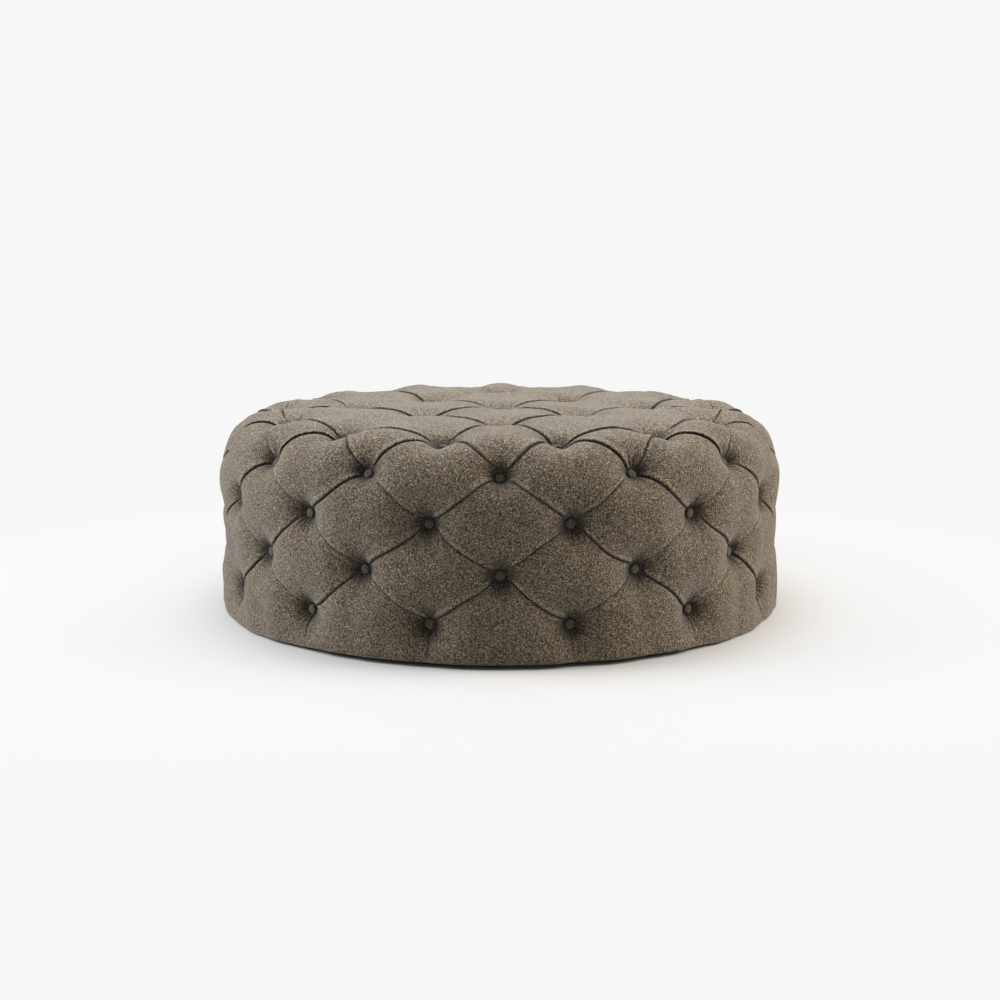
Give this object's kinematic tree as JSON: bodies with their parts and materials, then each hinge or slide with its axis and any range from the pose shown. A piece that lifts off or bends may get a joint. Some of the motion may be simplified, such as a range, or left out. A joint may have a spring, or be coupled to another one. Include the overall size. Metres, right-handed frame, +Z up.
{
  "type": "tufted round pouf",
  "caption": "Low round upholstered pouf, deep diamond-tufted all over with covered buttons and pleats, on hidden glides.",
  "frame": {"origin": "on the floor, at the middle of the pouf, under its axis", "axes": "+Z up along the axis, -Y towards the front, +X to the right seen from the front"},
  "size_m": [1.1, 1.1, 0.3848],
  "materials": {
    "cover_cloth": "taupe boucle cloth with light flecks, matt",
    "button_cloth": "the same boucle stretched over button shells, a little darker",
    "plywood": "raw birch plywood",
    "softwood": "planed softwood",
    "foam": "open-cell upholstery foam, stands in for polyurethane foam",
    "wadding": "white polyester wadding",
    "twine": "waxed linen tufting twine",
    "black_cloth": "black woven lining",
    "black_plastic": "black moulded plastic",
    "zinc_steel": "zinc-plated steel"
  },
  "bodies": {
    "root": {"base_ring": "plywood", "uprights": "softwood", "deck_panel": "plywood", "deck_rails": "softwood", "frame_skin": "plywood", "base_screws": "zinc_steel", "deck_screws": "zinc_steel", "rail_screws": "zinc_steel", "side_foam": "foam", "top_foam": "foam", "wadding": "wadding", "side_cover": "cover_cloth", "top_cover": "cover_cloth", "top_buttons": "button_cloth", "rim_buttons": "button_cloth", "shoulder_buttons": "button_cloth", "upper_buttons": "button_cloth", "lower_buttons": "button_cloth", "base_buttons": "button_cloth", "top_twines": "twine", "rim_twines": "twine", "shoulder_twines": "twine", "upper_twines": "twine", "lower_twines": "twine", "base_twines": "twine", "hem_strip": "black_cloth", "dust_cover": "black_cloth", "glides": "black_plastic", "glide_screws": "zinc_steel"}
  },
  "joints": []
}
